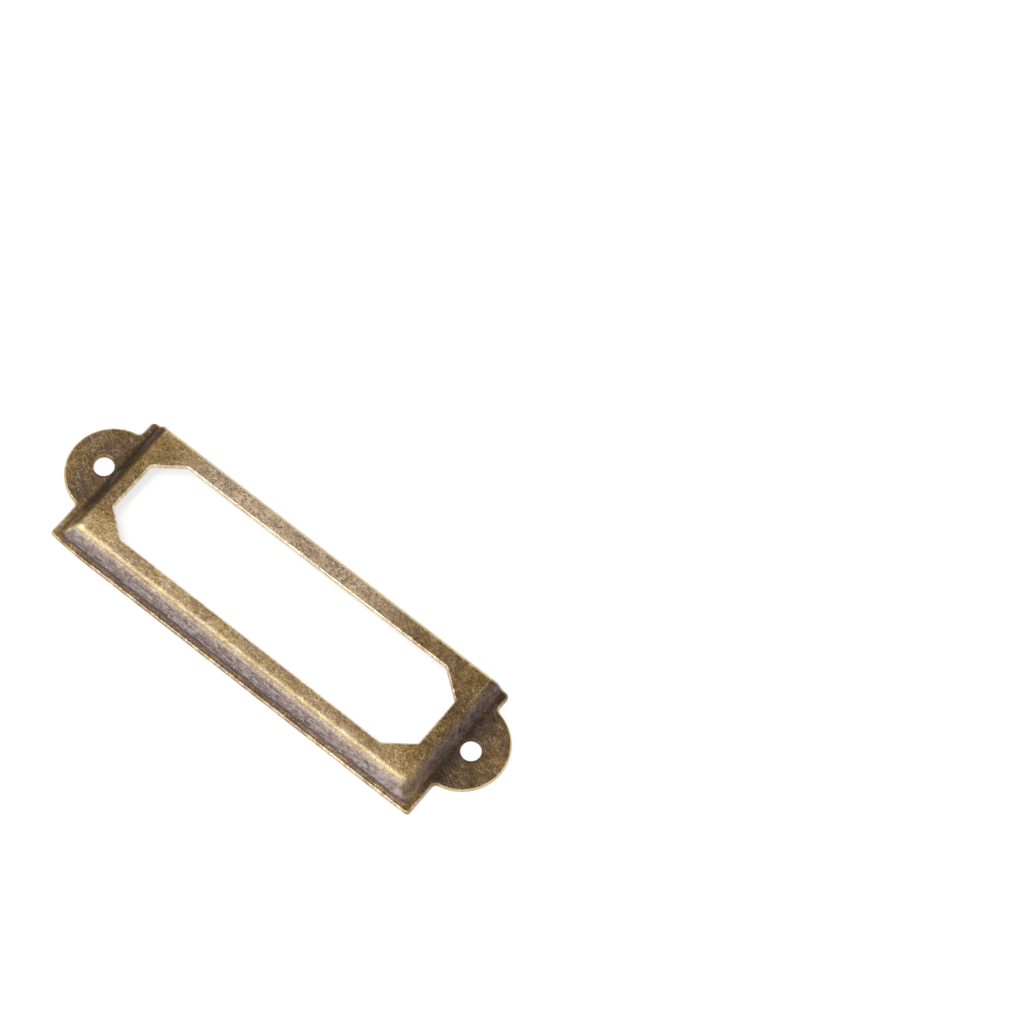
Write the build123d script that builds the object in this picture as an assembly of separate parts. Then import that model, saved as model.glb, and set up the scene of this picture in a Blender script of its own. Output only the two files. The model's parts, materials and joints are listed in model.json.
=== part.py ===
from build123d import *
import math
import os

# Drawer label holder, stamped from one sheet of brass.
# A flat raised face frames an eight-sided window. The sheet bends down on both ends and on
# the lower long side into a sloping wall and a narrow flange, which lie on the drawer front.
# The upper long side stays open, so that a card slides in behind the face. Each end carries
# a round ear with one screw hole. Millimetres, with the origin midway between the two screw
# holes on the back, X along the holder, +Y towards the open side and +Z out of the drawer.

# Driving dimensions
sheet = 0.6                  # thickness of the sheet
face_height = 2.75           # front of the face above the drawer front
frame_length = 65.7          # end flange edge to end flange edge, without the ears
lower_reach = 12.95          # hole line to the edge of the lower flange
open_reach = 9.55            # hole line to the open edge of the face
wall_angle = 60.0            # slope of the walls, degrees
end_flange = 0.7             # flat width of the flange at each end
lower_flange = 0.5           # flat width of the flange on the lower side
lower_crest_radius = 2.2     # bend between face and lower wall, on the front
end_crest_radius = 1.4       # bend between face and end walls, on the front
foot_radius = 0.9            # bend between wall and flange, on the front
end_strip = 1.75             # flat face beside the window, at each end
lower_strip = 1.8            # flat face below the window
open_strip = 2.85            # flat face between the window and the open edge
corner_cut_x = 4.15          # window corner, cut along the length
corner_cut_y = 3.15          # window corner, cut across the width
window_corner_radius = 0.6
ear_radius = 7.0
ear_inset = 0.85             # ear centre inside the end flange edge
ear_fillet = 0.7             # ear into the flange edge
hole_diameter = 3.0
hole_outset = 0.85           # hole centre outside the end flange edge
lower_corner_radius = 0.6
open_corner_radius = 0.8
flare = 0.35                 # end walls stand this far past the open edge of the face
flare_radius = 4.0           # open edge of the face into the flare
draw_in = 0.3                # lower flange edge is pulled in by this much at the -X corner
draw_in_length = 12.0        # length over which it is pulled in
punch_roll = 0.3             # rounding that the cutting leaves on the front of every edge

# Worked out from them
half_length = frame_length / 2
slope = math.radians(wall_angle)
rise = face_height - sheet
tool_margin = 2 * ear_radius     # how far the forming tools run past the outline
touching = 1e-3                  # two places closer than this are the same


def bend_setback(radius):
    """Distance from a bend's sharp corner to where its arc starts."""
    return radius * math.tan(slope / 2)


wall_width = bend_setback(foot_radius) + rise / math.tan(slope)
face_x = half_length - end_flange - wall_width - bend_setback(end_crest_radius)
face_low = -lower_reach + lower_flange + wall_width + bend_setback(lower_crest_radius)


def at_height(edges, height):
    """The edges that lie level at one height."""
    def level(edge):
        box = edge.bounding_box()
        return abs(box.min.Z - height) < touching and abs(box.max.Z - height) < touching
    return edges.filter_by(level)


def forming_tool(depth):
    """The solid under the surface that lies depth behind the front of the sheet."""
    shift = depth * math.tan(slope / 2)
    mound_x = half_length - end_flange - bend_setback(foot_radius) - shift
    mound_low = -lower_reach + lower_flange + bend_setback(foot_radius) + shift
    bed_low = -lower_reach - tool_margin
    bed_high = open_reach + tool_margin
    bed = Pos(0, (bed_low + bed_high) / 2, sheet - depth) * Box(
        2 * (half_length + tool_margin), bed_high - bed_low, tool_margin,
        align=(Align.CENTER, Align.CENTER, Align.MAX),
    )
    mound_high = bed_high + rise / math.tan(slope)
    mound_plan = Pos(0, (mound_low + mound_high) / 2, sheet - depth) * Rectangle(
        2 * mound_x, mound_high - mound_low
    )
    mound = extrude(mound_plan, amount=rise, taper=90 - wall_angle)
    tool = bed + split(mound, bisect_by=Plane(origin=(0, bed_high, 0), z_dir=(0, -1, 0)))

    def formed_edges():
        return tool.edges().filter_by(
            lambda edge: abs(edge.center().X) < half_length
            and -lower_reach < edge.center().Y < bed_high - touching
        )

    def crest_edges(axis):
        crest = at_height(formed_edges(), face_height - depth)
        return crest.filter_by(lambda edge: edge.geom_type == GeomType.LINE).filter_by(axis)

    tool = fillet(crest_edges(Axis.X), lower_crest_radius - depth)
    tool = fillet(crest_edges(Axis.Y), end_crest_radius - depth)
    return fillet(at_height(formed_edges(), sheet - depth), foot_radius + depth)


def outline():
    """Plan of the blank: frame, ears and the fillets between them."""
    flare_high = open_reach + flare
    draw_start = (-half_length + draw_in_length, -lower_reach)
    draw_end = (-half_length, -lower_reach + draw_in)
    ear_x = half_length - ear_inset
    with BuildSketch() as plan:
        with BuildLine():
            Polyline(
                draw_end,
                (-half_length, flare_high),
                (-face_x, open_reach),
                (face_x, open_reach),
                (half_length, flare_high),
                (half_length, -lower_reach),
                draw_start,
            )
            TangentArc(draw_start, draw_end, tangent=(-1, 0))
        make_face()
        flare_starts = plan.vertices().filter_by(lambda v: abs(v.X) < face_x + touching and v.Y > 0)
        fillet(flare_starts, flare_radius)
        for side in (-1, 1):
            corners = plan.vertices().filter_by(lambda v: side * v.X > half_length - touching)
            fillet(corners.sort_by(Axis.Y)[0], lower_corner_radius)
            corners = plan.vertices().filter_by(lambda v: side * v.X > half_length - touching)
            fillet(corners.sort_by(Axis.Y)[-1], open_corner_radius)
        with Locations((-ear_x, 0), (ear_x, 0)):
            Circle(ear_radius)
        notches = plan.vertices().filter_by(
            lambda v: abs(abs(v.X) - half_length) < touching
            and abs(math.hypot(ear_inset, v.Y) - ear_radius) < touching
        )
        fillet(notches, ear_fillet)
    return plan.sketch


def window():
    """Plan of the window: a rectangle with cut, slightly rounded corners."""
    right = face_x - end_strip
    low = face_low + lower_strip
    high = open_reach - open_strip
    corners = [
        (right, low + corner_cut_y), (right, high - corner_cut_y),
        (right - corner_cut_x, high), (-right + corner_cut_x, high),
        (-right, high - corner_cut_y), (-right, low + corner_cut_y),
        (-right + corner_cut_x, low), (right - corner_cut_x, low),
    ]
    plan = Polygon(*corners, align=None)
    return fillet(plan.vertices(), window_corner_radius)


def screw_holes():
    hole_x = half_length + hole_outset
    return Sketch() + [Pos(side * hole_x, 0) * Circle(hole_diameter / 2) for side in (-1, 1)]


def front_rim(block):
    """The edges where upright cut faces meet the front of the sheet."""
    bottom = block.bounding_box().min.Z
    cut_faces = block.faces().filter_by(lambda face: abs(face.normal_at().Z) < touching)
    return cut_faces.edges().filter_by(
        lambda edge: abs(edge.tangent_at(0.5).Z) < 1 - touching and edge.center().Z > bottom + touching
    )


def label_frame():
    """The blank under the front surface, with rolled edges, less all that lies behind the sheet."""
    blank = outline() - window() - screw_holes()
    block = forming_tool(0) & extrude(blank, amount=2 * face_height, both=True)
    block = fillet(front_rim(block), punch_roll)
    return block - forming_tool(sheet)


part = label_frame()
part.label = "label_frame"
os.makedirs("parts", exist_ok=True)
export_step(part, "parts/label_frame.step")
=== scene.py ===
import json
import math
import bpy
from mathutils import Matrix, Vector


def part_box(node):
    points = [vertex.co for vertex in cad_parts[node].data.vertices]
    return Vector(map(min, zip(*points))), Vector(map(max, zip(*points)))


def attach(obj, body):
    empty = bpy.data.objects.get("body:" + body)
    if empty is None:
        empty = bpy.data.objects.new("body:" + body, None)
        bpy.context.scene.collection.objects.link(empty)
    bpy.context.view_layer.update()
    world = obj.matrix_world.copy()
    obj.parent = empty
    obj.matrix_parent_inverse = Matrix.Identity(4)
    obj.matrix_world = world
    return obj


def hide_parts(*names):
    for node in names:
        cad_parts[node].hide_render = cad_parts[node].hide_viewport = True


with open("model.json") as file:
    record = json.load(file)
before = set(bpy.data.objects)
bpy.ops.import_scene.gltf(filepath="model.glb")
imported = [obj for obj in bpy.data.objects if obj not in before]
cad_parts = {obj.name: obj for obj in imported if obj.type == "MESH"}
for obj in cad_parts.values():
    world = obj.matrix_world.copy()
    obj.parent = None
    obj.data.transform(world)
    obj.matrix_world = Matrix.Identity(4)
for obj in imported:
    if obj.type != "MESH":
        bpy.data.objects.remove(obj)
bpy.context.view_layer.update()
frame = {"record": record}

from types import SimpleNamespace

import bpy
import numpy as np
from mathutils import Matrix, Vector, geometry

# Drawer label holder: one sheet of antique brass, stamped and bent.
# Lengths here are in millimetres, and METRE turns them into the scene's metres at the end.

METRE = 0.001

# Sizes read from the frame
low_corner, high_corner = [np.array(corner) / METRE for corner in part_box("label_frame")]
record = frame["record"]
screw_mount = next(mount for mount in record["mounts"] if mount["name"] == "screw_holes")
EAR_REACH = high_corner[0]                    # origin to the tip of an ear
LOWER_REACH = -low_corner[1]                  # hole line to the edge of the lower flange
FACE_HEIGHT = high_corner[2]                  # front of the face above the floor
HOLE_RADIUS = screw_mount["dims"]["hole_r_mm"]
HOLE_X = screw_mount["dims"]["spacing_x_mm"] / 2

# Sizes of the sheet, as in the part
SHEET = 0.6
OPEN_REACH = 9.55                             # hole line to the open edge of the face
EAR_RADIUS = 7.0
EAR_INSET = 0.85                              # ear centre inside the end flange edge
EAR_FILLET = 0.7
END_FLANGE = 0.7
LOWER_FLANGE = 0.5
WALL_SLOPE = math.radians(60)
LOWER_CREST_RADIUS = 2.2                      # face into lower wall, on the front
END_CREST_RADIUS = 1.4                        # face into end walls, on the front
FOOT_RADIUS = 0.9                             # wall into flange, on the front
RIDGE_RADIUS = 1.2                            # where two walls meet, seen from above
END_STRIP = 1.75                              # flat face beside the window
LOWER_STRIP = 1.8
OPEN_STRIP = 2.85
CORNER_CUT_X = 4.15                           # corners cut off the window
CORNER_CUT_Y = 3.15
WINDOW_CORNER_RADIUS = 0.6
LOWER_CORNER_RADIUS = 0.6
OPEN_CORNER_RADIUS = 0.8
FLARE = 0.35                                  # end walls past the open edge of the face
FLARE_RADIUS = 4.0
DRAW_IN = 0.3                                 # the lower flange's edge at the left corner
DRAW_IN_LENGTH = 12.0
DRAW_IN_RADIUS = 24.0
PUNCH_ROLL = 0.3                              # rounding of every cut edge on the front

# Worked out from them
half_length = EAR_REACH - EAR_RADIUS + EAR_INSET
ear_x = half_length - EAR_INSET
flare_reach = OPEN_REACH + FLARE
rise = FACE_HEIGHT - SHEET
foot_setback = FOOT_RADIUS * math.tan(WALL_SLOPE / 2)
wall_run = rise / math.tan(WALL_SLOPE)
foot_x = half_length - END_FLANGE - foot_setback
foot_y = -LOWER_REACH + LOWER_FLANGE + foot_setback
face_x = foot_x - wall_run - END_CREST_RADIUS * math.tan(WALL_SLOPE / 2)
face_y = foot_y + wall_run + LOWER_CREST_RADIUS * math.tan(WALL_SLOPE / 2)

# Mesh fineness
SAME_PLACE = 1e-4                             # points closer than this are one
ARC_STEP = 0.1
EDGE_STEP = 0.22
FLAT_STEP = 0.3
BEND_STEP = 0.085
BACK_STEP = 0.6
BACK_BEND_STEP = 0.16
BEND_MARGIN = 0.25                            # fine steps reach this far past the bends
FLANGE_MARGIN = 0.2
CLEARANCE = 0.1                               # from the cut edges to the points between them
BACK_CLEARANCE = 0.15
TRIANGULATION_TOLERANCE = 1e-7
SLOPE_STEP = 1e-3                             # the slope is measured over this distance
SHARP_ANGLE = math.radians(50)                # edges bent more than this are shaded sharp
ROLL_RINGS = 5
FLAT_RING = 0.06                              # keeps the shading flat right up to the rolled rim
BACK_RING = 0.4                               # width of the row of faces along the edges of the back


def arc(centre, radius, start, end):
    """Points on an arc from one angle to another, in radians, both ends included."""
    count = max(2, math.ceil(abs(end - start) * radius / ARC_STEP)) + 1
    angles = np.linspace(start, end, count)
    return np.column_stack([centre[0] + radius * np.cos(angles), centre[1] + radius * np.sin(angles)])


def rounded(before, at, after, radius):
    """The arc that rounds one corner of a polygon."""
    before, at, after = (np.array(point, float) for point in (before, at, after))
    arriving = (at - before) / np.linalg.norm(at - before)
    leaving = (after - at) / np.linalg.norm(after - at)
    turn = math.atan2(arriving[0] * leaving[1] - arriving[1] * leaving[0], arriving @ leaving)
    side = math.copysign(1, turn)
    start = at - arriving * radius * math.tan(abs(turn) / 2)
    centre = start + side * radius * np.array([-arriving[1], arriving[0]])
    first = math.atan2(start[1] - centre[1], start[0] - centre[0])
    return arc(centre, radius, first, first + turn)


def sides(loop):
    """Each point of a closed loop, with the next one."""
    return zip(loop, np.roll(loop, -1, axis=0))


def divided(loop):
    """A closed loop with its long straight stretches cut into short steps, and no point twice."""
    points = []
    for here, there in sides(loop):
        length = np.linalg.norm(there - here)
        if length > SAME_PLACE:
            steps = max(1, round(length / EDGE_STEP))
            points += [here + (there - here) * k / steps for k in range(steps)]
    return np.array(points)


def ear_side(low_corner_point, high_corner_point, flare_point, lower_point):
    """The right-hand end of the outline, from its lower corner round the ear to the flare."""
    fillet_x = half_length + EAR_FILLET
    fillet_y = math.sqrt((EAR_RADIUS + EAR_FILLET) ** 2 - (fillet_x - ear_x) ** 2)
    ear_angle = math.atan2(fillet_y, fillet_x - ear_x)
    return np.concatenate([
        rounded(lower_point, low_corner_point, high_corner_point, LOWER_CORNER_RADIUS),
        arc((fillet_x, -fillet_y), EAR_FILLET, math.pi, math.pi - ear_angle),
        arc((ear_x, 0), EAR_RADIUS, -ear_angle, ear_angle),
        arc((fillet_x, fillet_y), EAR_FILLET, math.pi + ear_angle, math.pi),
        rounded(low_corner_point, high_corner_point, flare_point, OPEN_CORNER_RADIUS),
        rounded(high_corner_point, flare_point, (0, OPEN_REACH), FLARE_RADIUS),
    ])


def outline():
    """The blank's edge, counter-clockwise, so that the sheet lies on its left."""
    high_point = (half_length, flare_reach)
    flare_point = (face_x, OPEN_REACH)
    right = ear_side((half_length, -LOWER_REACH), high_point, flare_point, (0, -LOWER_REACH))
    drawn_point = (half_length, -LOWER_REACH + DRAW_IN)
    draw_start = (half_length - DRAW_IN_LENGTH, -LOWER_REACH)
    left = ear_side(drawn_point, high_point, flare_point, draw_start)
    left = left[::-1] * (-1, 1)
    pull = rounded(
        (-half_length, -LOWER_REACH + DRAW_IN), (-half_length + DRAW_IN_LENGTH / 2, -LOWER_REACH),
        (0, -LOWER_REACH), DRAW_IN_RADIUS,
    )
    return divided(np.concatenate([right, left, pull]))


def window():
    """The window's edge, clockwise, so that the sheet lies on its left."""
    right, low, high = face_x - END_STRIP, face_y + LOWER_STRIP, OPEN_REACH - OPEN_STRIP
    corners = [
        (right, high - CORNER_CUT_Y), (right, low + CORNER_CUT_Y),
        (right - CORNER_CUT_X, low), (-right + CORNER_CUT_X, low),
        (-right, low + CORNER_CUT_Y), (-right, high - CORNER_CUT_Y),
        (-right + CORNER_CUT_X, high), (right - CORNER_CUT_X, high),
    ]
    around = zip(corners[-1:] + corners[:-1], corners, corners[1:] + corners[:1])
    return divided(np.concatenate([rounded(*three, WINDOW_CORNER_RADIUS) for three in around]))


def screw_hole(side):
    """A screw hole's edge, clockwise."""
    return arc((side * HOLE_X, 0), HOLE_RADIUS, 0, -2 * math.pi)[:-1]


def moved_in(loop, distance):
    """The loop moved into the sheet, which lies on its left."""
    along = np.roll(loop, -1, axis=0) - np.roll(loop, 1, axis=0)
    along /= np.linalg.norm(along, axis=1)[:, None]
    return loop + distance * np.column_stack([-along[:, 1], along[:, 0]])


def distance_to(points, loop):
    """Distance from each point to the nearest place on a closed loop."""
    nearest = np.full(len(points), np.inf)
    for here, there in sides(loop):
        step = there - here
        share = np.clip((points - here) @ step / (step @ step), 0, 1)
        gap = points - here - share[:, None] * step
        nearest = np.minimum(nearest, np.hypot(gap[:, 0], gap[:, 1]))
    return nearest


def inside(points, loop):
    """True for each point that a closed loop goes round."""
    odd = np.zeros(len(points), bool)
    x, y = points[:, 0], points[:, 1]
    for (x1, y1), (x2, y2) in sides(loop):
        if y1 != y2:
            crosses = (y1 > y) != (y2 > y)
            odd ^= crosses & (x < x1 + (y - y1) * (x2 - x1) / (y2 - y1))
    return odd


def spaced(marks, steps):
    """Places along a line: between each two marks they lie about one step apart."""
    places = [marks[0]]
    for start, end, step in zip(marks, marks[1:], steps):
        places += list(np.linspace(start, end, max(1, round((end - start) / step)) + 1)[1:])
    return np.array(places)


def grid_points(loops, flat_step, bend_step, clearance):
    """Places inside the sheet, closer together across the bends."""
    bend_start = face_x - BEND_MARGIN
    bend_end = half_length - END_FLANGE + BEND_MARGIN
    marks = [-EAR_REACH, -bend_end, -bend_start, bend_start, bend_end, EAR_REACH]
    across = spaced(marks, [flat_step, bend_step, flat_step, bend_step, flat_step])
    marks = [-LOWER_REACH, -LOWER_REACH + FLANGE_MARGIN, face_y + BEND_MARGIN, flare_reach]
    up = spaced(marks, [flat_step, bend_step, flat_step])
    points = np.array([(x, y) for x in across for y in up])
    points = points[inside(points, loops[0])]
    for hole in loops[1:]:
        points = points[~inside(points, hole)]
    for loop in loops:
        points = points[distance_to(points, loop) > clearance]
    return points


def triangulated(points, loops):
    """Triangles between the loops. Corners are numbered along the loops, then over the points."""
    places, edges = [], []
    for loop in loops:
        first, count = len(places), len(loop)
        edges += [(first + k, first + (k + 1) % count) for k in range(count)]
        places += [Vector(point) for point in loop]
    places += [Vector(point) for point in points]
    triangles_inside = 1
    _, _, faces, origins, _, _ = geometry.delaunay_2d_cdt(
        places, edges, [], triangles_inside, TRIANGULATION_TOLERANCE
    )
    number = [same[0] for same in origins]
    triangles = np.array([[number[corner] for corner in face] for face in faces])
    middles = np.array(places)[triangles].mean(axis=1)
    for hole in loops[1:]:
        kept = ~inside(middles, hole)
        triangles, middles = triangles[kept], middles[kept]
    return triangles.tolist()


def bend_places(x, y):
    """Distance inside the walls' foot line, and 0 on the long side to 1 at an end."""
    from_end, from_side = foot_x - np.abs(x), y - foot_y
    apart = from_side - from_end
    corner = np.clip(2 * RIDGE_RADIUS ** 2 - apart ** 2, RIDGE_RADIUS ** 2, None)
    in_ridge = (from_end + from_side) / 2 - RIDGE_RADIUS + np.sqrt(corner) / 2
    across = np.where(np.abs(apart) < RIDGE_RADIUS, in_ridge, np.minimum(from_end, from_side))
    share = np.clip(apart / (2 * RIDGE_RADIUS) + 0.5, 0, 1)
    return across, share ** 2 * (3 - 2 * share)


def front_height(x, y):
    """Height of the front: flange, foot bend, wall, crest bend and face."""
    across, at_end = bend_places(x, y)
    crest_radius = LOWER_CREST_RADIUS + (END_CREST_RADIUS - LOWER_CREST_RADIUS) * at_end
    crest_setback = crest_radius * math.tan(WALL_SLOPE / 2)
    foot_end = foot_setback * math.cos(WALL_SLOPE)
    crest_start = wall_run - crest_setback * math.cos(WALL_SLOPE)
    crest_end = wall_run + crest_setback
    in_foot = np.clip(across + foot_setback, 0, FOOT_RADIUS)
    foot = SHEET + FOOT_RADIUS - np.sqrt(FOOT_RADIUS ** 2 - in_foot ** 2)
    wall = SHEET + across * math.tan(WALL_SLOPE)
    in_crest = np.clip(crest_end - across, 0, crest_radius)
    crest = FACE_HEIGHT - crest_radius + np.sqrt(crest_radius ** 2 - in_crest ** 2)
    steps = [across < -foot_setback, across < foot_end, across < crest_start, across < crest_end]
    return np.select(steps, [np.full_like(across, SHEET), foot, wall, crest], FACE_HEIGHT)


def front_normal(x, y):
    """Unit normals of the front, from its slopes."""
    step = SLOPE_STEP
    slope_x = (front_height(x + step, y) - front_height(x - step, y)) / (2 * step)
    slope_y = (front_height(x, y + step) - front_height(x, y - step)) / (2 * step)
    normal = np.column_stack([-slope_x, -slope_y, np.ones_like(slope_x)])
    return normal / np.linalg.norm(normal, axis=1)[:, None]


def back_places(plan):
    """Places on the back of the sheet, straight behind places on its front."""
    front = np.column_stack([plan, front_height(*plan.T)])
    return front - SHEET * front_normal(*plan.T)


def rim_strips(cuts, starts):
    """Faces between each layer and the next, all the way round every cut."""
    strips = []
    first = 0
    for loop in cuts:
        for here in range(len(loop)):
            there = (here + 1) % len(loop)
            for upper, lower in zip(starts + first, starts[1:] + first):
                strips.append([upper + here, lower + here, lower + there, upper + there])
        first += len(loop)
    return strips


def sheet_mesh():
    """The whole sheet: front with rolled rims, cut faces and back."""
    cuts = [outline(), window(), screw_hole(-1), screw_hole(1)]
    front_loops = [moved_in(loop, PUNCH_ROLL + FLAT_RING) for loop in cuts]
    front_points = grid_points(front_loops, FLAT_STEP, BEND_STEP, CLEARANCE)
    front_plan = np.concatenate(front_loops + [front_points])
    plans = [front_plan]
    layers = [np.column_stack([front_plan, front_height(*front_plan.T)])]
    for turn in np.linspace(0, math.pi / 2, ROLL_RINGS + 1):
        inward = PUNCH_ROLL * (1 - math.sin(turn))
        drop = PUNCH_ROLL * (1 - math.cos(turn))
        ring = np.concatenate([moved_in(loop, inward) for loop in cuts])
        plans.append(ring)
        layers.append(np.column_stack([ring, front_height(*ring.T) - drop]))
    back_loops = [moved_in(loop, BACK_RING) for loop in cuts]
    back_points = grid_points(back_loops, BACK_STEP, BACK_BEND_STEP, BACK_CLEARANCE)
    for plan in (np.concatenate(cuts), np.concatenate(back_loops + [back_points])):
        plans.append(plan)
        layers.append(back_places(plan))

    starts = np.cumsum([0] + [len(layer) for layer in layers[:-1]])
    front = triangulated(front_points, front_loops)
    back = triangulated(back_points, back_loops)
    back = [[starts[-1] + corner for corner in reversed(face)] for face in back]
    faces = front + back + rim_strips(cuts, starts)

    mesh = bpy.data.meshes.new("label_frame_sheet")
    mesh.from_pydata((np.concatenate(layers) * METRE).tolist(), [], faces)
    plan = np.concatenate(plans)
    across, at_end = bend_places(plan[:, 0], plan[:, 1])
    add_attribute(mesh, "across", across)
    add_attribute(mesh, "at_end", at_end)
    add_attribute(mesh, "from_rim", np.min([distance_to(plan, loop) for loop in cuts], axis=0))
    mesh.update()
    mesh.shade_smooth()
    mesh.set_sharp_from_angle(angle=SHARP_ANGLE)
    return mesh


def add_attribute(mesh, name, values):
    """One number for each vertex, which the material reads."""
    attribute = mesh.attributes.new(name, "FLOAT", "POINT")
    attribute.data.foreach_set("value", values.astype(np.float32))


class Shading:
    """Adds nodes to one shader tree, each linked to what feeds it."""

    def __init__(self, tree):
        self.tree = tree

    def node(self, kind, feeds, **settings):
        """A new node. Each feed is a socket to link, or a plain value."""
        made = self.tree.nodes.new("ShaderNode" + kind)
        for name, value in settings.items():
            setattr(made, name, value)
        for name, value in feeds.items():
            if isinstance(value, bpy.types.NodeSocket):
                self.tree.links.new(value, made.inputs[name])
            else:
                made.inputs[name].default_value = value
        return made

    def math(self, operation, *terms):
        """One operation over two or more terms, taken in their order."""
        total = terms[0]
        for term in terms[1:]:
            total = self.node("Math", {0: total, 1: term}, operation=operation).outputs[0]
        return total

    def add(self, *terms):
        return self.math("ADD", *terms)

    def less(self, first, second):
        return self.math("SUBTRACT", first, second)

    def times(self, *factors):
        return self.math("MULTIPLY", *factors)

    def most(self, *terms):
        return self.math("MAXIMUM", *terms)

    def absolute(self, value):
        return self.node("Math", {0: value}, operation="ABSOLUTE").outputs[0]

    def attribute(self, name):
        """One of the mesh's own numbers."""
        return self.node("Attribute", {}, attribute_name=name).outputs["Fac"]

    def faded(self, value, start, end, low=0.0, high=1.0):
        """low up to start, high from end on, and a smooth change between them."""
        feeds = {"Value": value, "From Min": start, "From Max": end, "To Min": low, "To Max": high}
        return self.node("MapRange", feeds, interpolation_type="SMOOTHSTEP").outputs[0]

    def between(self, share, low, high):
        """low where the share is 0, and high where it is 1."""
        return self.faded(share, 0.0, 1.0, low, high)

    def band(self, value, middle, half_width):
        """1 at the middle of a band and 0 past its two edges."""
        away = self.absolute(self.less(value, middle))
        return self.faded(away, 0.0, half_width, 1.0, 0.0)

    def noise(self, place, size, detail, roughness=0.5):
        """Cloudy noise about 0, in about -0.5 to 0.5, with patches of one size in millimetres."""
        feeds = {"Vector": place, "Scale": 1 / size, "Detail": detail, "Roughness": roughness}
        return self.less(self.node("TexNoise", feeds).outputs["Fac"], 0.5)

    def mixed(self, share, first, second):
        """The first colour where the share is 0, and the second where it is 1."""
        feeds = {0: share, 6: first, 7: second}     # a Mix node's inputs 6 and 7 are its colours
        return self.node("Mix", feeds, data_type="RGBA").outputs[2]

    def ramp(self, value, stops):
        """The colour that belongs to a value, from (position, colour) stops."""
        made = self.node("ValToRGB", {"Fac": value})
        elements = made.color_ramp.elements
        while len(elements) < len(stops):
            elements.new(1.0)
        for element, (position, colour) in zip(elements, stops):
            element.position = position
            element.color = (*colour, 1.0)
        return made.outputs["Color"]

    def moved(self, place, turn=(0, 0, 0), size=(1, 1, 1), shift=(0, 0, 0)):
        """Places scaled, then turned, then shifted."""
        feeds = {"Vector": place, "Rotation": turn, "Scale": size, "Location": shift}
        return self.node("Mapping", feeds).outputs[0]

    def scaled(self, place, amount):
        """Places times one number."""
        return self.node("VectorMath", {0: place, "Scale": amount}, operation="SCALE").outputs[0]

    def warped(self, place, size, amount):
        """Places shifted to and fro, so that straight marks become slightly curved."""
        swell = self.node("TexNoise", {"Vector": place, "Scale": 1 / size, "Detail": 1.0}).outputs["Color"]
        shift = self.scaled(swell, amount)
        return self.node("VectorMath", {0: place, 1: shift}, operation="ADD").outputs[0]


# Scratches: (direction in degrees, length and width in mm, noise level where they start)
LIGHT_SCRATCHES = (
    (12, 3.4, 0.07, 0.14),
    (58, 2.6, 0.06, 0.15),
    (-34, 3.0, 0.07, 0.14),
    (101, 2.2, 0.06, 0.16),
)
DARK_SCRATCHES = ((30, 1.6, 0.07, 0.13), (-62, 1.8, 0.07, 0.13))
DARK_SCRATCH_SHIFT = (3.7, 11.9, 0)           # keeps them apart from the light ones
SCRATCH_STEEPNESS = 0.07                      # noise levels from a scratch's edge to its full depth
SCRATCH_CURVE_SIZE = 6.0
SCRATCH_CURVE_AMOUNT = 1.2
SCRATCH_SHIFT_X = 17.3                        # from one direction's noise to the next
SCRATCH_SHIFT_Y = 5.1


def scratch_marks(shade, place, scratches):
    """Fine scratches that cross in several directions: 1 in a scratch, 0 beside it."""
    curved = shade.warped(place, SCRATCH_CURVE_SIZE, SCRATCH_CURVE_AMOUNT)
    marks = []
    for number, (degrees, length, width, level) in enumerate(scratches):
        shift = (SCRATCH_SHIFT_X * number, SCRATCH_SHIFT_Y, 0)
        turned = shade.moved(curved, turn=(0, 0, math.radians(-degrees)), shift=shift)
        stretched = shade.moved(turned, size=(1 / length, 1 / width, 1 / length))
        streak = shade.noise(stretched, 1.0, 1.0)
        marks.append(shade.faded(streak, level, level + SCRATCH_STEEPNESS))
    return shade.most(*marks)


# Noises of the finish: (patch size in mm, detail, roughness)
NOISES = {
    "blotch": (5.0, 2.0, 0.5),
    "cloud": (1.9, 2.0, 0.5),
    "mottle": (0.7, 3.0, 0.7),
    "grain": (0.22, 2.0, 0.7),
    "tone": (1.3, 3.0, 0.6),
    "specks": (0.16, 0.0, 0.5),
    "ragged": (0.45, 3.0, 0.7),
    "lengthwise": (0.22, 3.0, 0.7),
    "upward": (0.6, 3.0, 0.7),
    "hatching": (0.2, 3.0, 0.7),
}
# What keeps two noises apart, or draws one's patches out: a size under 1 makes them longer
NOISE_MOVES = {
    "tone": {"shift": (31, 7, 3)},
    "specks": {"shift": (5, 3, 9)},
    "ragged": {"size": (1.0, 0.5, 1.0)},
    "lengthwise": {"size": (0.18, 1.1, 1.0)},
    "upward": {"size": (1.0, 0.6, 1.0)},
    "hatching": {"size": (0.3, 1.0, 0.3)},
}
HATCHING_TURN = math.radians(-70)             # it crosses the shoulder at a slant
SPECK_LEVELS = (0.17, 0.24)                   # the specks' highest places are pits, the lowest glints


def find_noises(shade, at):
    """The noises, scratches, pits and glints that the finish is made from."""
    hatching_place = shade.moved(at.place, turn=(0, 0, HATCHING_TURN))
    for name, (size, detail, roughness) in NOISES.items():
        place = hatching_place if name == "hatching" else at.place
        if name in NOISE_MOVES:
            place = shade.moved(place, **NOISE_MOVES[name])
        setattr(at, name, shade.noise(place, size, detail, roughness))
    at.light_scratches = scratch_marks(shade, at.place, LIGHT_SCRATCHES)
    dark_place = shade.moved(at.place, shift=DARK_SCRATCH_SHIFT)
    at.dark_scratches = scratch_marks(shade, dark_place, DARK_SCRATCHES)
    start, full = SPECK_LEVELS
    at.pits = shade.faded(at.specks, start, full)
    at.glints = shade.faded(at.specks, -start, -full)


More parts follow.
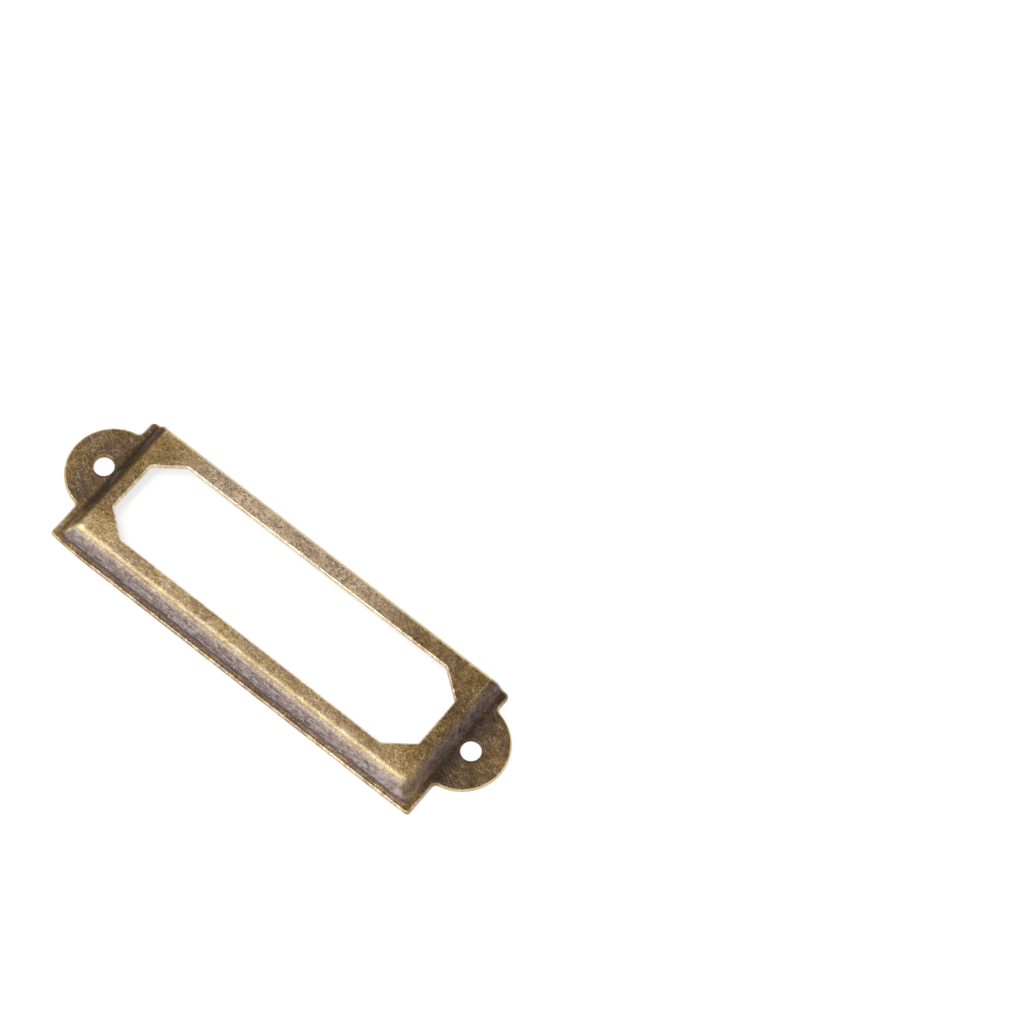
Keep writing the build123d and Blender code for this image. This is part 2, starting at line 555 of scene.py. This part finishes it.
def find_sides(shade, at):
    """Places on the sheet in millimetres, and shares that say which side or end they are on."""
    at.x, at.y, _ = shade.node("SeparateXYZ", {0: at.place}).outputs
    at.out = shade.absolute(at.x)
    at.across = shade.attribute("across")
    at.end = shade.attribute("at_end")
    at.long_side = shade.less(1.0, at.end)
    at.toward_right = shade.faded(at.x, 10.0, 30.0)
    at.right_end = shade.times(at.end, at.toward_right)
    at.left_end = shade.less(at.end, at.right_end)
    # how far up the bend a place lies, made ragged so that no band has a ruled edge
    at.uneven = shade.add(at.across, shade.times(at.ragged, 0.55), shade.times(at.cloud, 0.3))
    at.wavering = shade.add(at.across, shade.times(at.ragged, 0.2), shade.times(at.cloud, 0.2))
    at.on_face = shade.faded(at.uneven, 1.3, 2.0)


# Lines along the bends, in millimetres in from the foot of the walls
# the long crest line is rubbed metal and also carries a painted highlight
CREST_LINE = 2.06                             # where the long crest is rubbed most
SHOULDER_LINE = 1.42                          # where the long wall goes over into its crest


def find_crests(shade, at):
    """Bands along the crests: rubbed metal, lightened further as painted highlights."""
    # the crest line: rubbed metal with a painted highlight
    at.crest = shade.times(
        shade.band(at.wavering, CREST_LINE, 0.28), at.long_side,
        shade.faded(at.x, 14.0, 26.0, 1.0, 0.55),
        shade.faded(at.hatching, -0.14, 0.06, 0.45, 1.1),
        shade.faded(at.out, 23.5, 26.0, 1.0, 0.6),
    )
    # the whole long crest, where its gold painted highlight is laid
    at.whole_crest = shade.times(shade.band(at.wavering, CREST_LINE, 0.6), at.long_side)
    # a wide painted highlight on the long crest, toward the right-hand corner
    at.wide_crest = shade.times(
        shade.band(at.wavering, 2.15, 0.75), at.long_side,
        shade.faded(at.x, 14.0, 26.0),
    )
    # a painted highlight fading from the long crest onto the face
    at.near_crest = shade.times(
        shade.faded(at.across, 2.3, 3.5, 1.0, 0.0), at.long_side,
        shade.faded(at.x, 11.0, 17.0, 0.3, 1.0),
    )
    # a thin painted highlight along the upper right-hand crest
    at.right_crest = shade.times(
        shade.band(at.wavering, 2.0, 0.16), at.right_end,
        shade.faded(at.y, 0.0, 7.0),
        shade.faded(at.mottle, -0.12, 0.02, 0.2, 1.0),
    )
    # a painted highlight along the shoulder, a second band of reflected light below the crest
    at.shoulder = shade.times(shade.band(at.uneven, SHOULDER_LINE, 0.42), at.long_side)


def find_walls(shade, at):
    """Bands on the walls, on the bends at their foot and on the flanges; the dark bands at the foot are
    painted shade.
    """
    above_corner = shade.faded(at.y, -10.4, -8.8)
    past_foot = shade.faded(at.uneven, -0.3, 0.1)
    at.wall = shade.times(past_foot, shade.faded(at.uneven, 2.05, 1.5))
    # painted shade: a dark band down the left-hand wall
    at.left_wall = shade.times(
        shade.faded(at.across, 0.0, 0.8), shade.faded(at.across, 2.2, 0.9),
        at.left_end, above_corner,
    )
    at.right_wall = shade.times(at.wall, at.right_end)
    at.right_low = shade.times(shade.band(at.y, -4.0, 4.0), at.right_end, past_foot)
    at.ridge = shade.times(
        shade.band(at.end, 0.5, 0.5),
        shade.faded(at.uneven, -0.2, 0.4), shade.faded(at.uneven, 2.8, 2.0),
    )
    # a painted highlight on the left-hand ridge, where the end wall meets the long wall
    at.left_ridge = shade.less(at.ridge, shade.times(at.ridge, at.toward_right))
    # painted shade in the valleys at the foot of the walls, deeper at the right-hand end
    at.valley = shade.times(shade.band(at.uneven, -0.05, 0.6), shade.most(above_corner, at.long_side))
    at.right_valley = shade.times(shade.band(at.uneven, -0.45, 0.9), at.right_end)
    # painted shade in the long valley, which is also tinted grey
    at.long_valley = shade.times(shade.band(at.uneven, 0.0, 0.5), at.long_side)
    # painted shade along the foot of the long wall, broken into streaks
    at.grime = shade.times(
        shade.band(at.uneven, 0.0, 0.25), shade.faded(at.lengthwise, -0.03, 0.05), at.long_side
    )
    # painted shade spreading from the foot of the end walls out over the ears
    at.near_foot = shade.times(
        shade.faded(at.uneven, -2.4, -0.5), shade.faded(at.uneven, 0.3, 0.0),
        at.end, above_corner,
    )
    at.long_flange = shade.times(shade.faded(at.uneven, 0.25, -0.05), at.long_side)
    # painted shade in the valley at the left end of the long wall
    at.left_foot = shade.times(shade.faded(at.x, -22.0, -26.0), shade.faded(at.y, -11.4, -11.9))


def find_areas(shade, at):
    """Larger areas: the ends are darker, the right one most, and the lower corners lighter."""
    above_low = shade.faded(at.y, -8.4, -5.5)
    ends = shade.faded(at.out, 22.5, 28.5)
    at.end_face = shade.times(ends, at.on_face)
    at.upper_end = shade.times(ends, above_low)
    at.rubbed_corner = shade.times(ends, shade.less(1.0, above_low))
    at.open_strip = shade.faded(at.y, 4.5, 7.5)
    at.right_strip = shade.times(
        at.open_strip, shade.faded(at.x, 8.0, 17.0), shade.faded(at.x, 29.0, 22.0)
    )
    at.beside_window = shade.times(
        shade.faded(at.out, 26.0, 28.5), shade.faded(shade.absolute(at.y), 7.0, 4.0), at.on_face
    )
    at.beside_right = shade.times(at.beside_window, at.toward_right)
    at.rough_right = shade.times(shade.add(at.mottle, at.grain), at.beside_right)
    at.open_edge = shade.times(shade.faded(at.y, 8.6, 9.2), shade.faded(at.out, 31.0, 29.5))
    at.on_ear = shade.faded(at.out, 33.2, 34.0)
    at.outer_ear = shade.faded(at.out, 33.5, 38.5)
    at.ear_tip = shade.faded(at.out, 34.5, 36.5)
    at.right_ear_low = shade.times(shade.faded(at.x, 31.5, 33.0), shade.faded(at.y, -1.0, -4.5))


# the rims are worn metal, made paler still as a painted highlight
RIM_EDGES = (0.26, 0.36)                      # a rubbed rim fades out this far in from the cut
HOLE_RIM = (0.6, 0.9)                         # and is dull up to this far from a screw hole


def find_rims(shade, at):
    """Rims along the cuts, worn and lightened as painted highlights, and the scratches, which show less on
    them and on the walls.
    """
    from_rim = shade.add(
        shade.attribute("from_rim"),
        shade.times(at.mottle, 0.15),
        shade.times(at.on_face, 0.04),
        shade.times(at.open_edge, -0.1),
        shade.times(at.on_ear, shade.between(at.toward_right, 0.04, 0.1)),
        shade.times(at.left_foot, 0.08),
        shade.times(at.long_flange, 0.01),
    )
    hole_plan = shade.node("CombineXYZ", {"X": shade.less(at.out, HOLE_X), "Y": at.y}).outputs[0]
    from_hole = shade.node("VectorMath", {0: hole_plan}, operation="LENGTH").outputs["Value"]
    dull, plain = (HOLE_RADIUS + width for width in HOLE_RIM)
    at.rim = shade.times(
        shade.faded(from_rim, *RIM_EDGES, 1.0, 0.0),
        shade.faded(from_hole, dull, plain, 0.15, 1.0),
        shade.faded(shade.add(at.mottle, shade.times(at.cloud, 0.5)), -0.12, 0.04, 1.0, 0.8),
    )
    # rubbed metal and painted highlights, on the long crest and the rims
    at.rubbed = shade.most(at.whole_crest, at.rim)
    at.light_scratches = shade.times(
        at.light_scratches,
        shade.faded(at.blotch, -0.1, 0.1, 0.5, 1.2),
        shade.faded(shade.most(at.wall, at.rim), 0.0, 0.6, 1.0, 0.35),
    )


# Patina from 0, rubbed bright, to 1, nearly black: (position, colour)
GOLDEN_PATINA = (
    (0.0, (0.97, 0.87, 0.67)),
    (0.22, (0.70, 0.55, 0.33)),
    (0.45, (0.400, 0.258, 0.095)),
    (0.7, (0.156, 0.095, 0.034)),
    (1.0, (0.042, 0.025, 0.013)),
)
PURPLE_PATINA = (
    (0.0, (0.90, 0.80, 0.64)),
    (0.22, (0.66, 0.555, 0.43)),
    (0.45, (0.37, 0.25, 0.165)),
    (0.7, (0.150, 0.094, 0.075)),
    (1.0, (0.040, 0.024, 0.021)),
)
FACE_PATINA = 0.45
WALL_PATINA = 0.59

# What each place adds to the patina's darkness: above 0 is darker, and below 0 brighter. The left wall,
# valleys, left foot and streaks at the foot are painted shade; the crests, shoulder, left ridge and rims
# are painted highlights, over rubbed metal on the crest and rims
PATINA = {
    "upper_end": 0.10,
    "toward_right": 0.075,
    "right_strip": 0.145,
    "beside_window": 0.04,
    "beside_right": 0.065,
    "right_low": -0.05,
    "right_ear_low": 0.06,
    "left_wall": 0.15,
    "valley": 0.03,
    "right_valley": 0.10,
    "left_ridge": -0.30,
    "right_wall": -0.09,
    "long_flange": 0.14,
    "left_foot": 0.08,
    "grime": 0.11,
    "crest": -0.035,
    "wide_crest": -0.05,
    "right_crest": -0.22,
    "shoulder": -0.10,
    "near_crest": -0.10,
    "rim": -0.46,
    "blotch": 0.20,
    "rough_right": 0.25,
    "pits": 0.14,
    "light_scratches": -0.30,
    "dark_scratches": 0.16,
}
# The same for places that differ from end to end: (left, right)
PATINA_BY_END = {
    "outer_ear": (-0.06, -0.09),
    "rubbed_corner": (-0.09, -0.055),
    # painted shade spreading from the foot of the end walls
    "near_foot": (0.07, 0.11),
    "cloud": (0.30, 0.42),
}
# The same for grain, which shows less where the metal is rubbed and on the painted highlights: (plain,
# rubbed and highlit)
PATINA_BY_WEAR = {
    "mottle": (0.45, 0.36),
    "grain": (0.50, 0.32),
    "glints": (-0.12, -0.04),
}


def patina_of(shade, at):
    """How dark the colour is, from 0, rubbed bright, to 1, nearly black: the patina, with painted shade
    and painted highlights.
    """
    terms = [shade.between(at.on_face, WALL_PATINA, FACE_PATINA)]
    for name, amount in PATINA.items():
        terms.append(shade.times(getattr(at, name), amount))
    for share, table in ((at.toward_right, PATINA_BY_END), (at.rubbed, PATINA_BY_WEAR)):
        for name, amounts in table.items():
            terms.append(shade.times(getattr(at, name), shade.between(share, *amounts)))
    return shade.add(*terms)


def purple_of(shade, at):
    """How far the patina turns from golden to purple-grey: partly the oxide's own tint, partly a painted
    neutral reflection on the walls and valleys.
    """
    in_tone = shade.faded(at.tone, -0.15, 0.17, 0.05, 0.68)
    return shade.add(
        shade.times(in_tone, shade.between(at.end_face, 1.0, 0.3)),
        shade.times(at.right_wall, 0.5),
        shade.times(shade.faded(at.uneven, 0.2, -0.2), 0.15),
        shade.times(at.long_valley, 0.7),
        shade.times(at.crest, shade.faded(at.x, 14.0, 24.0, 0.35, 0.05)),
        shade.times(at.rubbed_corner, -0.25),
        shade.times(at.ear_tip, -0.2),
    )


# Colours that cover the patina in places
# painted shade in the long valley, tinted grey
VALLEY_GREY = (0.165, 0.128, 0.13, 1)
# the rubbed crest's colour, set to its painted highlight
CREST_GOLD = (0.345, 0.286, 0.158, 1)
# the worn rims' colour, paler as a painted highlight
RIM_GOLD = (0.86, 0.67, 0.36, 1)

# The same for speckled places: (dark, pale)
OPEN_STRIP_COLOURS = ((0.205, 0.133, 0.103, 1), (0.735, 0.57, 0.385, 1))
# the shoulder's pale hatching is a painted highlight
SHOULDER_COLOURS = ((0.38, 0.30, 0.23, 1), (0.78, 0.66, 0.56, 1))
# the long wall's pale grey is partly a painted reflection on its darker oxide
LONG_WALL_COLOURS = ((0.175, 0.133, 0.15, 1), (0.66, 0.565, 0.535, 1))
RIGHT_WALL_COLOURS = ((0.062, 0.047, 0.05, 1), (0.27, 0.20, 0.165, 1))


def open_strip_layer(shade, at, speckle):
    """Grey and pale speckles on the open strip, paler in a painted patch of light left of the middle:
    where they lie, and their colour.
    """
    swell = shade.add(
        speckle, shade.times(at.cloud, 0.5), shade.times(at.blotch, 0.35),
        # a painted patch of light left of the middle
        shade.times(shade.band(at.x, -8.0, 7.0), 0.10),
    )
    share = shade.times(
        shade.faded(at.out, 20.0, 26.0, 1.0, 0.0), shade.faded(at.x, 9.0, 17.0, 1.0, 0.0),
        at.open_strip, shade.faded(at.rim, 0.0, 0.5, 1.0, 0.0),
        shade.faded(at.tone, -0.1, 0.1, 0.92, 0.58),
    )
    return share, shade.mixed(shade.faded(swell, -0.17, 0.19), *OPEN_STRIP_COLOURS)


def shoulder_layer(shade, at):
    """Pale slanting hatching along the shoulder, a painted highlight broken into worn hatching: where it
    lies, and its colour.
    """
    level = shade.add(at.hatching, shade.times(at.glints, 0.1))
    return shade.times(at.shoulder, 0.85), shade.mixed(shade.faded(level, -0.15, 0.15), *SHOULDER_COLOURS)


def long_wall_layer(shade, at, speckle):
    """Pale grey flecks drawn out along the long wall, partly a painted reflection on its darker oxide:
    where they lie, and their colour.
    """
    level = shade.add(
        at.lengthwise, shade.times(speckle, 0.6), shade.times(at.toward_right, 0.06),
        shade.times(at.light_scratches, 0.1),
    )
    share = shade.times(
        shade.faded(at.uneven, -0.02, 0.25), shade.faded(at.uneven, 1.45, 1.0), at.long_side,
        shade.faded(at.grime, 0.0, 0.8, 1.0, 0.2), shade.faded(at.ridge, 0.2, 0.9, 1.0, 0.0),
        shade.faded(at.tone, -0.1, 0.1, 1.0, 0.6),
    )
    return share, shade.mixed(shade.faded(level, -0.2, 0.2), *LONG_WALL_COLOURS)


def right_wall_layer(shade, at):
    """Dark patches on the lower part of the right-hand wall: where they lie, and their colour."""
    level = shade.add(
        at.upward, shade.times(at.mottle, 0.6), shade.times(at.cloud, 0.4), shade.times(at.glints, 0.12)
    )
    share = shade.times(
        shade.faded(shade.add(at.uneven, shade.times(at.blotch, 0.8)), 1.5, 0.7),
        shade.faded(at.uneven, 0.0, 0.5), shade.faded(at.tone, -0.12, 0.12, 0.85, 0.4),
        at.right_end,
    )
    return share, shade.mixed(shade.faded(level, -0.16, 0.2), *RIGHT_WALL_COLOURS)


def brass_colour(shade, at, patina):
    """The patina's colour, with the layers that cover it in places, one over the other."""
    golden, purple = shade.ramp(patina, GOLDEN_PATINA), shade.ramp(patina, PURPLE_PATINA)
    colour = shade.mixed(purple_of(shade, at), golden, purple)
    speckle = shade.add(
        at.mottle, shade.times(at.grain, 0.8), shade.times(at.pits, -0.25), shade.times(at.glints, 0.12)
    )
    # painted highlights over the rubbed crest and the worn rims
    golden_crest = shade.times(at.whole_crest, shade.faded(at.mottle, -0.15, 0.15, 0.65, 0.3))
    golden_rim = shade.times(at.rim, shade.most(at.open_edge, at.on_ear), 0.8)
    layers = (
        (shade.times(at.long_valley, 0.4), VALLEY_GREY),
        (golden_crest, CREST_GOLD),
        open_strip_layer(shade, at, speckle),
        shoulder_layer(shade, at),
        long_wall_layer(shade, at, speckle),
        right_wall_layer(shade, at),
        (golden_rim, RIM_GOLD),
    )
    for share, layer in layers:
        colour = shade.mixed(share, colour, layer)
    return colour


PLAIN_ROUGHNESS = 0.36
RUBBED_RELIEF = 0.5                           # how much of the relief is left on rubbed metal


def antique_brass():
    """Brass with a brown patina, rubbed back to pale gold where the sheet stands proud, with painted
    highlights on its crests and rims and painted shade in its valleys.
    """
    material = bpy.data.materials.new("antique_brass")
    material.use_nodes = True
    tree = material.node_tree
    shade = Shading(tree)
    metres = shade.node("TexCoord", {}).outputs["Object"]
    # each step adds what it finds to at, by name
    at = SimpleNamespace(place=shade.scaled(metres, 1 / METRE))
    for find in (find_noises, find_sides, find_crests, find_walls, find_areas, find_rims):
        find(shade, at)
    patina = patina_of(shade, at)
    roughness = shade.add(
        PLAIN_ROUGHNESS, shade.times(patina, 0.14), shade.times(at.wall, 0.12),
        shade.times(at.grain, 0.15), shade.times(at.light_scratches, -0.06),
    )
    # the rims are half as metallic, so that their pale painted highlight shows from every side
    metallic = shade.times(shade.faded(patina, 0.4, 1.0, 1.0, 0.8), shade.between(at.rim, 1.0, 0.5))
    relief = shade.add(
        shade.times(at.mottle, 0.05), shade.times(at.grain, 0.03), shade.times(at.light_scratches, -0.006)
    )
    relief = shade.times(relief, shade.between(at.rubbed, METRE, RUBBED_RELIEF * METRE))
    finish = {
        "Base Color": brass_colour(shade, at, patina),
        "Metallic": metallic,
        "Roughness": roughness,
        "Normal": shade.node("Bump", {"Height": relief, "Strength": 1.0, "Distance": 1.0}).outputs[0],
    }
    for name, value in finish.items():
        tree.links.new(value, tree.nodes["Principled BSDF"].inputs[name])
    return material


# Camera at the photograph's viewing angle
CAMERA_ELEVATION = math.radians(67.18)
CAMERA_AZIMUTH = math.radians(-56.81)
CAMERA_ROLL = math.radians(6.04)
CAMERA_DISTANCE = 571.0
AIM = (15.454, 31.872, 0)                     # where the middle of the picture meets the floor
LENS = 140.625
SENSOR = 36.0
CLIP_START = 10.0
CLIP_END = 10000.0


def placed(name, data):
    """A new object of the scene, made from a mesh, a lamp or a camera."""
    made = bpy.data.objects.new(name, data)
    bpy.context.scene.collection.objects.link(made)
    return made


def direction(azimuth, elevation):
    """Unit vector towards one direction as seen from the holder."""
    level = math.cos(elevation)
    return Vector((level * math.cos(azimuth), level * math.sin(azimuth), math.sin(elevation)))


def add_camera():
    """A camera at the photograph's angle, with AIM in the middle of its picture."""
    camera = placed("camera", bpy.data.cameras.new("camera"))
    camera.data.lens = LENS
    camera.data.sensor_width = SENSOR
    camera.data.clip_start = CLIP_START * METRE
    camera.data.clip_end = CLIP_END * METRE
    away = direction(CAMERA_AZIMUTH, CAMERA_ELEVATION)
    camera.rotation_mode = "QUATERNION"
    turned = (-away).to_track_quat("-Z", "Y").to_matrix() @ Matrix.Rotation(CAMERA_ROLL, 3, "Z")
    camera.rotation_quaternion = turned.to_quaternion()
    camera.location = (Vector(AIM) + away * CAMERA_DISTANCE) * METRE
    bpy.context.scene.camera = camera


def seen_rays(shade):
    """1 for camera, mirror and see-through rays, which show the background as white."""
    path = shade.node("LightPath", {}).outputs
    return shade.most(path["Is Glossy Ray"], path["Is Transmission Ray"], path["Is Camera Ray"])


WHITE = (1, 1, 1, 1)
FLOOR_GREY = (0.47, 0.47, 0.47, 1)
FLOOR_ROUGHNESS = 0.9
FLOOR_GLOW = 0.68                             # with its lit grey this shows as white
FLOOR_HALF = 4000.0


def add_floor():
    """A large pale floor, which keeps the holder's shadow."""
    half = FLOOR_HALF * METRE
    corners = [(-half, -half, 0), (half, -half, 0), (half, half, 0), (-half, half, 0)]
    mesh = bpy.data.meshes.new("floor")
    mesh.from_pydata(corners, [], [(0, 1, 2, 3)])
    floor = placed("floor", mesh)
    material = bpy.data.materials.new("floor_white")
    material.use_nodes = True
    shader = material.node_tree.nodes["Principled BSDF"]
    shader.inputs["Base Color"].default_value = FLOOR_GREY
    shader.inputs["Roughness"].default_value = FLOOR_ROUGHNESS
    shader.inputs["Specular IOR Level"].default_value = 0
    shader.inputs["Emission Color"].default_value = WHITE
    shade = Shading(material.node_tree)
    glow = shade.times(seen_rays(shade), FLOOR_GLOW)
    material.node_tree.links.new(glow, shader.inputs["Emission Strength"])
    mesh.materials.append(material)


WORLD_LIGHT = 0.5                             # what the world adds to diffuse light
CEILING = 0.35                                # how bright the ceiling shows, beside the white backdrop
BACKDROP_TOP = math.sin(math.radians(8))      # the backdrop is white up to here
CEILING_START = math.sin(math.radians(32))
BACKDROP_TILT = 0.8                           # it reaches higher to the right of the holder
BACKDROP_RISE = 1.5                           # and behind the open side
BEHIND_START = 0.5                            # how far back the rise starts


def add_world():
    """Even studio light, and a white backdrop under a dimmer ceiling for mirror rays."""
    world = bpy.data.worlds.new("studio")
    world.use_nodes = True
    bpy.context.scene.world = world
    background = world.node_tree.nodes["Background"]
    background.inputs["Color"].default_value = WHITE
    shade = Shading(world.node_tree)
    ray = shade.node("TexCoord", {}).outputs["Generated"]
    to_right, to_back, height = shade.node("SeparateXYZ", {0: ray}).outputs
    behind = shade.most(shade.less(to_back, BEHIND_START), 0.0)
    above = shade.add(height, shade.times(to_right, -BACKDROP_TILT), shade.times(behind, -BACKDROP_RISE))
    seen = shade.faded(above, BACKDROP_TOP, CEILING_START, 1.0, CEILING)
    strength = shade.between(seen_rays(shade), WORLD_LIGHT, seen)
    world.node_tree.links.new(strength, background.inputs["Strength"])


# Softboxes: (name, azimuth and elevation in degrees, distance and width in mm, power in watts)
SOFTBOXES = (
    ("top_softbox", -150, 72, 900, 420, 2.6),
    ("front_softbox", -107, 42, 900, 300, 1.25),
)


def add_softbox(name, azimuth, elevation, distance, width, power):
    """A round soft lamp that points at the holder."""
    light = bpy.data.lights.new(name, "AREA")
    light.shape = "DISK"
    light.size = width * METRE
    light.energy = power
    lamp = placed(name, light)
    towards = direction(math.radians(azimuth), math.radians(elevation))
    lamp.location = towards * distance * METRE
    lamp.rotation_mode = "QUATERNION"
    lamp.rotation_quaternion = (-towards).to_track_quat("-Z", "Y")


sheet = placed("label_frame_sheet", sheet_mesh())
sheet.data.materials.append(antique_brass())
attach(sheet, "root")
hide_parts("label_frame")

add_camera()
add_floor()
add_world()
for softbox in SOFTBOXES:
    add_softbox(*softbox)
bpy.context.scene.view_settings.view_transform = "Standard"
